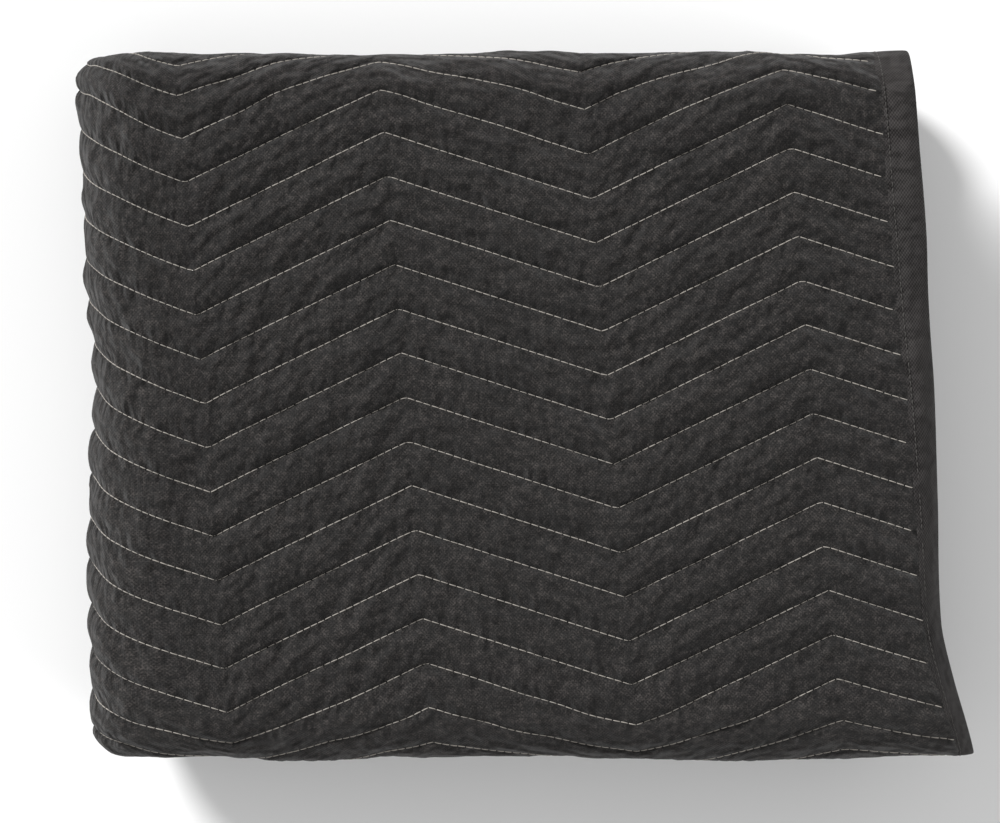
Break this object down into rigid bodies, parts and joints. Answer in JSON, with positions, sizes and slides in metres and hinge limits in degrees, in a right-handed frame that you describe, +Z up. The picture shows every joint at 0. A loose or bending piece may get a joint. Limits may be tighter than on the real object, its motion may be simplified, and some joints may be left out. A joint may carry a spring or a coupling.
{
  "type": "folded moving pad",
  "caption": "Quilted moving pad with bound edges, folded in quarters both ways into a flat rectangular pack with zigzag rows of stitching.",
  "frame": {"origin": "middle of the pack's bounding box, on the surface the pack lies on", "axes": "+X along the rows of stitching towards the bound end of the top panel, +Y towards the side with the four thick folds, +Z up out of the top face"},
  "size_m": [0.533, 0.417, 0.1075],
  "materials": {
    "pad": "matt charcoal non-woven face with an orange woven back, quilted",
    "tape": "matt black woven tape"
  },
  "bodies": {
    "root": {"pad": "pad", "side_tape_upper": "tape", "side_tape_lower": "tape", "end_tape_top": "tape", "end_tape_under": "tape"}
  },
  "joints": []
}
